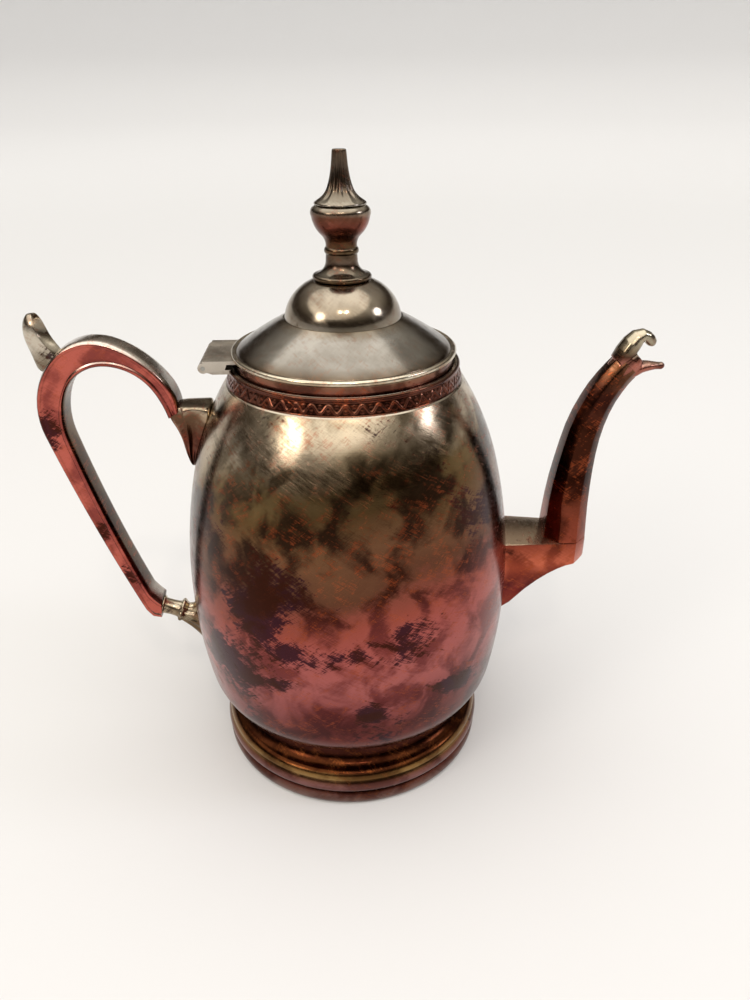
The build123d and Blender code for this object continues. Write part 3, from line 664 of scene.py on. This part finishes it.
lidShape = {
    "edge": (40.1, 180.1), "crease": (22.2, 191.2), "dome": ((21.6, 191.1), (18.5, 198.8), (10.8, 204.4)),
}
domeOut = arcThrough(*lidShape["dome"], 24)[0]
domeIn = arcThrough((10.2, 203.2), (17.4, 198.0), (20.6, 190.3), 16)[0]
cone = arcThrough((40.0, 180.3), (32.0, 185.7), lidShape["crease"], 14)[0]
settle(turned("lidShell", [lidShape["edge"], (40.0, 180.3)] + cone + [(21.9, 191.0), lidShape["dome"][0]]
    + domeOut + [(1.6, 205.2), (1.6, 204.0), (10.2, 203.2)]
    + domeIn + [(23.0, 189.9), (40.1, 178.6), (40.1, 180.1)], fineSteps),
    "lid", lidPlate, ["lid_shell"], angle=28)
settle(turned("lidFlange", [
    (40.1, 177.4), (34.8, 177.4), (34.8, 168.5), (35.0, 168.4), (35.5, 168.4), (35.6, 168.6), (35.6, 176.6),
    (40.1, 176.6), (40.1, 177.4),
], 160), "lid", lidPlate, ["lid_flange"])


# finial

skirtFoot = arcThrough((9.7, 204.7), (10.7, 205.7), (9.6, 206.75), 8)[0]
skirtRise = arcTangent((9.6, 206.75), (5.75, 211.6), (-1, 0.2), 14)[0]
settle(turned("finialSkirt", [(1.5, 204.9), (9.7, 204.7)] + skirtFoot + skirtRise + [
    (5.6, 213.6), (1.5, 213.6), (1.5, 204.9),
], fittingSteps), "lid", finialPlate, ["finial_skirt"], angle=34)
neckRing = arcThrough((5.6, 213.6), (6.2, 214.8), (5.6, 216.0), 10)[0]
settle(turned("finialRing", [(1.5, 213.6), (5.6, 213.6)] + neckRing + [
    (1.5, 216.0), (1.5, 213.6),
], fittingSteps),
       "lid", finialPlate, ["finial_ring"])
urnWaist, urnTangent = arcTangent((5.6, 216.0), (7.1, 220.1), (-0.12, 1), 8)
urnFlank = arcTangent((7.1, 220.1), (10.35, 226.4), urnTangent, 10)[0]
urnLip = arcThrough((10.35, 226.4), (10.6, 227.8), (9.3, 229.6), 8)[0]
settle(turned("finialUrn", [(1.5, 216.0), (5.6, 216.0)] + urnWaist + urnFlank + urnLip + [
    (8.9, 229.9), (1.5, 229.9), (1.5, 216.0),
], fittingSteps), "lid", finialPlate, ["finial_urn"])

# the spire: every other line of a 24-sided taper is drawn in, which leaves twelve ribs
spire = {"ribs": 12, "depth": 0.78}
spireLine = [(8.9, 229.9, 1), (9.3, 230.3, 1), (9.2, 230.9, 1), (8.2, 231.5, 0.97), (6.4, 232.7, 0.88),
             (5.2, 234.2, 0.80), (4.5, 235.8, 0.77), (3.8, 238.0, 0.76), (3.2, 240.8, 0.76),
             (2.8, 244.0, 0.76),
             (2.6, 246.6, 0.78), (2.5, 247.3, 0.82), (2.2, 247.6, 0.86), (1.2, 247.6, 0.9)]
spireRings = []
for radius, z, drawn in spireLine:
    ring = []
    for i in range(spire["ribs"] * 4):
        angle = i * 2 * math.pi / (spire["ribs"] * 4)
        wave = 0.5 + 0.5 * math.cos(angle * spire["ribs"])
        here = radius * (drawn + (1 - drawn) * wave ** 0.6)
        ring.append((here * math.cos(angle), here * math.sin(angle), z))
    spireRings.append(ring)
finialSpire = skinned("finialSpire", spireRings)
applyModifier(finialSpire, "SUBSURF", levels=1, render_levels=1)
settle(finialSpire, "lid", finialPlate, ["finial_spire"], angle=60)
print("lid and finial made")


# handle

handleShape = {
    "outerLeg": ((-90.2, 68.6), (-103.9, 107.8), (-115.6, 147.6)),
    "innerLeg": ((-85.6, 74.1), (-96.9, 109.3), (-106.2, 145.5)),
    "outerArch": ((-106.2, 179.6), (-84.4, 183.2), (-66.6, 168.2), (-63.2, 157.0)),
    "innerArch": ((-104.6, 164.8), (-88.2, 174.8), (-72.2, 164.6), (-68.0, 154.0)),
    "heel": (((-82.6, 60.8), (-81.6, 69.0)), ((-86.2, 61.6), (-82.3, 70.0)), ((-88.8, 65.0), (-83.7, 71.6))),
}


def handleSide(leg, arch):
    points, tangent = arcThrough(*leg, 22)
    points = [leg[0]] + points
    for stop in arch:
        more, tangent = arcTangent(points[-1], stop, tangent, 11)
        points += more
    return points


outerHeel, innerHeel = zip(*handleShape["heel"])
outerSide = list(outerHeel) + handleSide(handleShape["outerLeg"], handleShape["outerArch"])
innerSide = list(innerHeel) + handleSide(handleShape["innerLeg"], handleShape["innerArch"])

# half a section: in from the edge, and out from the seam, with a fine bead round the flat face
edgeLine = [(0.0, 0.0), (0.0, 3.2), (0.1, 4.3), (0.45, 5.2), (0.9, 5.75), (1.45, 5.98), (2.0, 5.85),
            (2.35, 5.5), (2.8, 5.35)]


def handleHalf(name, node, sign):
    rings = []
    for outer, inner in zip(outerSide, innerSide):
        outer, inner = Vector(outer), Vector(inner)
        across = (inner - outer)
        width = across.length
        across.normalize()
        ring = []
        for depth, y in edgeLine:
            point = outer + across * depth
            ring.append((point.x, sign * y, point.y))
        middle = (outer + inner) / 2
        ring.append((middle.x, sign * 5.5, middle.y))
        for depth, y in reversed(edgeLine):
            point = outer + across * (width - depth)
            ring.append((point.x, sign * y, point.y))
        rings.append(ring)
    return settle(skinned(name, rings), "pot", handlePlate, [node], angle=50)


handleHalf("handleNearHalf", "handle_near_half", -1)
handleHalf("handleFarHalf", "handle_far_half", 1)

# thumb rest: height, back, rim, half width and how far it is cupped
thumbLine = [
    (171.5, -114.4, -108.0, 3.0, 0.0), (176.0, -115.3, -104.6, 3.7, 0.0), (180.0, -116.0, -106.2, 4.2, 0.30),
    (183.2, -116.9, -108.6, 4.8, 0.72), (186.6, -117.2, -110.0, 5.2, 0.95), (189.8, -116.9, -110.8, 4.8, 1.0),
    (192.2, -116.0, -111.6, 3.6, 0.95), (193.6, -114.9, -112.3, 2.2, 0.6), (194.1, -114.2, -112.9, 1.1, 0.1),
]
thumbRings = []
for z, back, rim, half, cup in thumbLine:
    ring = []
    steps = 12
    for i in range(steps + 1):
        share = math.cos(math.pi * i / steps)
        ring.append((rim - (rim - back) * math.sqrt(max(0, 1 - share * share)), half * share, z))
    for i in range(1, steps):
        share = -math.cos(math.pi * i / steps)
        deep = cup * max(0, rim - back - 1.1) * (1 - share * share) ** 0.7
        ring.append((rim + 0.35 - deep, half * share * 0.96, z + 0.3 * cup))
    thumbRings.append(ring)
thumbRest = skinned("thumbRest", thumbRings)
applyModifier(thumbRest, "SUBSURF", levels=1, render_levels=1)
settle(thumbRest, "pot", castPlate, ["thumb_rest"], angle=60)

# upper socket: a draped, fluted bracket round the handle's end; height, wall place, reach, half width
socketLine = [
    (158.6, -52.4, 13.8, 5.4), (158.2, -52.2, 16.0, 6.6), (156.6, -51.9, 17.2, 7.3),
    (153.8, -52.6, 16.2, 7.5),
    (150.6, -54.0, 13.0, 7.3), (147.4, -55.4, 10.0, 6.8), (144.0, -56.8, 7.6, 6.2), (140.4, -58.2, 5.6, 5.4),
    (137.0, -59.4, 3.9, 4.4), (134.0, -60.2, 2.2, 3.0), (132.0, -60.8, 0.9, 1.4),
]
socketShape = {"flutes": 7, "depth": 0.20, "squareness": 0.62}
socketRings = []
for number, (z, wall, reach, half) in enumerate(socketLine):
    ring = []
    depth = socketShape["depth"] if number > 1 else 0.03
    for i in range(73):
        angle = math.pi * (i / 72 - 0.5)
        lobe = 1 - depth * abs(math.cos(angle * socketShape["flutes"])) ** 0.7
        out = abs(math.cos(angle)) ** socketShape["squareness"]
        across = math.copysign(abs(math.sin(angle)) ** socketShape["squareness"], angle)
        ring.append((wall - reach * out * lobe, half * across * lobe, z))
    ring += [(wall + 0.6, half * 0.9, z), (wall + 0.6, -half * 0.9, z)]
    socketRings.append(ring)
upperSocket = skinned("upperSocket", socketRings)
applyModifier(upperSocket, "SUBSURF", levels=1, render_levels=1)
settle(upperSocket, "pot", socketPlate, ["upper_socket"], angle=70)

# lower socket: a short tube with a bead at the handle and a collar at the boss
tube = {"start": Vector((-83.2, 0, 64.6)), "end": Vector((-72.0, 0, 60.6))}
tubeAxis = (tube["end"] - tube["start"]).normalized()
tubeUp = Vector((0, 1, 0)).cross(tubeAxis)
tubeLine = [(0, 3.6), (0.15, 4.1), (0.7, 4.35), (1.3, 4.1), (1.6, 3.6), (2.6, 3.45), (5.0, 3.35), (7.2, 3.5),
            (8.2, 3.8), (8.6, 4.5), (9.3, 4.9), (10.0, 4.6), (10.6, 4.0), (11.6, 3.6)]
tubeRings = []
for along, radius in tubeLine:
    ring = []
    for i in range(48):
        angle = 2 * math.pi * i / 48
        scallop = 1 + (0.07 * math.cos(angle * 8) if along > 8.4 else 0)
        point = tube["start"] + tubeAxis * along + (
            tubeUp * math.cos(angle) + Vector((0, 1, 0)) * math.sin(angle)) * radius * scallop
        ring.append(tuple(point))
    tubeRings.append(ring)
settle(skinned("lowerSocket", tubeRings), "pot", castPlate, ["lower_socket"], angle=50)

# lower boss: from the collar it spreads over the body in gadroons, with a longer tail below
bossLine = [  # centre x and z, reach up, reach down, half width
    (-76.4, 61.4, 3.6, 4.0, 3.8), (-74.4, 60.4, 4.6, 4.8, 4.3), (-71.6, 59.0, 5.2, 6.0, 4.6),
    (-68.8, 57.6, 6.4, 8.4, 5.2), (-66.4, 56.8, 9.6, 12.0, 6.0), (-65.0, 56.4, 13.6, 14.8, 6.6),
    (-64.0, 56.2, 14.6, 15.2, 6.8),
]
bossRings = []
for number, (x, z, upReach, downReach, half) in enumerate(bossLine):
    ring = []
    for i in range(60):
        angle = 2 * math.pi * i / 60
        lobe = 1 - (0.13 * (0.5 - 0.5 * math.cos(angle * 12)) if number else 0)
        reach = upReach if math.cos(angle) > 0 else downReach
        y, high = half * math.sin(angle) * lobe, z + reach * math.cos(angle) * lobe
        if number < 5:
            ring.append((x - 0.12 * (high - z), y, high))
        else:
            lift = 0.8 if number == 5 else -0.6
            ring.append((-math.sqrt(bodyRadius(high) ** 2 - y * y) - lift, y, high))
    bossRings.append(ring)
lowerBoss = skinned("lowerBoss", bossRings)
applyModifier(lowerBoss, "SUBSURF", levels=1, render_levels=1)
settle(lowerBoss, "pot", castPlate, ["lower_boss"], angle=70)
print("handle, thumb rest and sockets made")


# spout

# neck stations: centre x and z, lean, half depth, half width
neckLine = [
    (91.2, 97.0, 0, 8.85, 10.9), (91.3, 105.0, 3, 8.6, 9.7), (91.5, 113.0, 5, 8.3, 8.6),
    (92.0, 121.0, 8, 7.9, 8.1), (92.8, 129.0, 11, 7.4, 7.6), (93.7, 136.0, 14, 7.0, 7.2),
    (94.9, 143.0, 18, 6.7, 6.8), (96.5, 149.0, 23, 6.4, 6.5), (98.5, 154.5, 28, 6.1, 6.2),
    (100.7, 159.3, 33, 5.9, 5.9), (103.3, 163.6, 38, 5.7, 5.7), (106.0, 167.4, 42, 5.5, 5.5),
    (108.9, 170.8, 44, 5.4, 5.4),
]


def neckRing8(x, z, lean, halfDepth, halfWidth):
    # eight facets, each corner softened by three close points
    lean = math.radians(lean)
    corners = [(1, -0.5), (1, 0.5), (0.42, 1), (-0.42, 1), (-1, 0.5), (-1, -0.5), (-0.42, -1), (0.42, -1)]
    ring = []
    for number, corner in enumerate(corners):
        here = Vector((corner[0] * halfDepth, corner[1] * halfWidth))
        before = Vector((corners[number - 1][0] * halfDepth, corners[number - 1][1] * halfWidth))
        after = corners[(number + 1) % 8]
        after = Vector((after[0] * halfDepth, after[1] * halfWidth))
        soft = 0.13
        for point in (here.lerp(before, soft), here * 0.985, here.lerp(after, soft)):
            ring.append((x + point.x * math.cos(lean), point.y, z - point.x * math.sin(lean)))
    return ring


spoutNeck = skinned("spoutNeck", [neckRing8(*station) for station in neckLine], capStart=False, capEnd=False)

# the foot: a wedge under the neck, seen from the side as (x, bottom z), with its half width there
footLine = [
    (65.8, 66.8, 13.2), (68.2, 69.1, 12.95), (70.4, 71.3, 12.8), (74.5, 75.3, 12.4), (79.5, 79.3, 12.0),
    (84.0, 82.2, 11.6), (88.2, 84.3, 11.2), (91.4, 85.6, 11.05), (94.9, 86.4, 10.9), (97.6, 86.9, 8.2),
    (99.4, 87.2, 6.2), (100.1, 87.5, 5.2),
]
spoutTop = 96.9
footRings = []
for x, bottom, half in footLine:
    top = spoutTop + 1.5 * max(0, (90 - x)) / 28
    ring = []
    corner = min(1.0, half * 0.2)
    bit = corner * 0.25
    for y, z in ((-half + corner, bottom), (half - corner, bottom), (half - bit, bottom + bit),
                 (half, bottom + corner), (half, top - corner), (half - bit, top - bit),
                 (half - corner, top), (-half + corner, top), (-half + bit, top - bit),
                 (-half, top - corner), (-half, bottom + corner), (-half + bit, bottom + bit)):
        ring.append((x, y, z))
    footRings.append(ring)
footRings[0] = [(math.sqrt(x * x - y * y), y, z) for x, y, z in footRings[0]]
spoutFoot = skinned("spoutFoot", footRings)
for shell in (spoutNeck, spoutFoot):
    applyModifier(shell, "SOLIDIFY", thickness=1.0 * mm, offset=-1)


def cutHalf(name, node, keepNear):
    # the solder line runs down the middle, so each half is cut off there and closed
    sides = []
    for shell in (spoutFoot, spoutNeck):
        selectOnly(shell)
        bpy.ops.object.duplicate()
        sides.append(bpy.context.active_object)
        bpy.ops.object.mode_set(mode="EDIT")
        bpy.ops.mesh.select_all(action="SELECT")
        bpy.ops.mesh.bisect(
            plane_co=(0, 0, 0), plane_no=(0, 1, 0), use_fill=True,
            clear_outer=keepNear, clear_inner=not keepNear,
        )
        bpy.ops.mesh.select_all(action="SELECT")
        bpy.ops.mesh.normals_make_consistent(inside=False)
        bpy.ops.object.mode_set(mode="OBJECT")
    return settle(joined(name, sides), "pot", spoutPlate, [node], angle=24)


cutHalf("spoutNearHalf", "spout_near_half", True)
cutHalf("spoutFarHalf", "spout_far_half", False)
for shell in (spoutNeck, spoutFoot):
    bpy.data.objects.remove(shell)


def blob(name, stations, count=20):
    # a soft limb in the pot's middle plane: x, z, half height, half width at each station
    rings = []
    for number, (x, z, tall, half) in enumerate(stations):
        ahead = stations[min(number + 1, len(stations) - 1)]
        behind = stations[max(number - 1, 0)]
        run = Vector((ahead[0] - behind[0], ahead[1] - behind[1])).normalized()
        ring = []
        for i in range(count):
            angle = 2 * math.pi * i / count
            rise = tall * math.cos(angle)
            ring.append((x - run.y * rise, half * math.sin(angle), z + run.x * rise))
        rings.append(ring)
    return skinned(name, rings)


beakParts = [
    blob("beakJaw", [(105.6, 167.2, 5.5, 5.5), (108.4, 170.4, 5.7, 5.6), (110.6, 172.9, 5.1, 5.2),
                     (112.2, 174.4, 3.5, 4.2)]),
    blob("beakHood", [(105.5, 172.0, 3.4, 4.6), (107.6, 175.6, 3.8, 4.9), (109.6, 178.8, 3.7, 4.7),
                      (111.6, 181.2, 3.2, 4.0), (113.6, 182.0, 2.5, 3.2), (115.2, 181.4, 2.2, 2.8),
                      (116.4, 180.3, 2.2, 2.6), (117.4, 179.0, 1.9, 2.3), (117.9, 178.0, 1.0, 1.3)]),
    blob("beakLip", [(109.0, 167.6, 3.0, 4.8), (112.0, 168.9, 2.8, 4.6), (114.6, 169.7, 2.3, 3.9),
                     (117.4, 169.9, 1.9, 3.0), (119.8, 169.9, 1.5, 2.2), (121.6, 169.8, 1.4, 1.6),
                     (122.6, 169.8, 1.5, 1.5), (123.5, 169.7, 0.9, 0.9)]),
]
spoutBeak = joined("spoutBeak", beakParts)
applyModifier(spoutBeak, "REMESH", mode="VOXEL", voxel_size=0.28 * mm)
applyModifier(spoutBeak, "SMOOTH", factor=0.5, iterations=4)
settle(spoutBeak, "pot", beakPlate, ["spout_beak"], angle=80)
print("spout and beak made")


# CAD pieces that are right as they are

for node, material in {
    "bottom_plate": bodyPlate, "hinge_body_leaf": leafPlate, "hinge_lid_leaf": leafPlate, "hinge_pin": steel,
    "finial_stud": steel, "finial_nut": steel, "finial_washer": steel,
}.items():
    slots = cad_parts[node].material_slots
    for slotHere in slots:
        slotHere.material = material

print("all pieces placed")
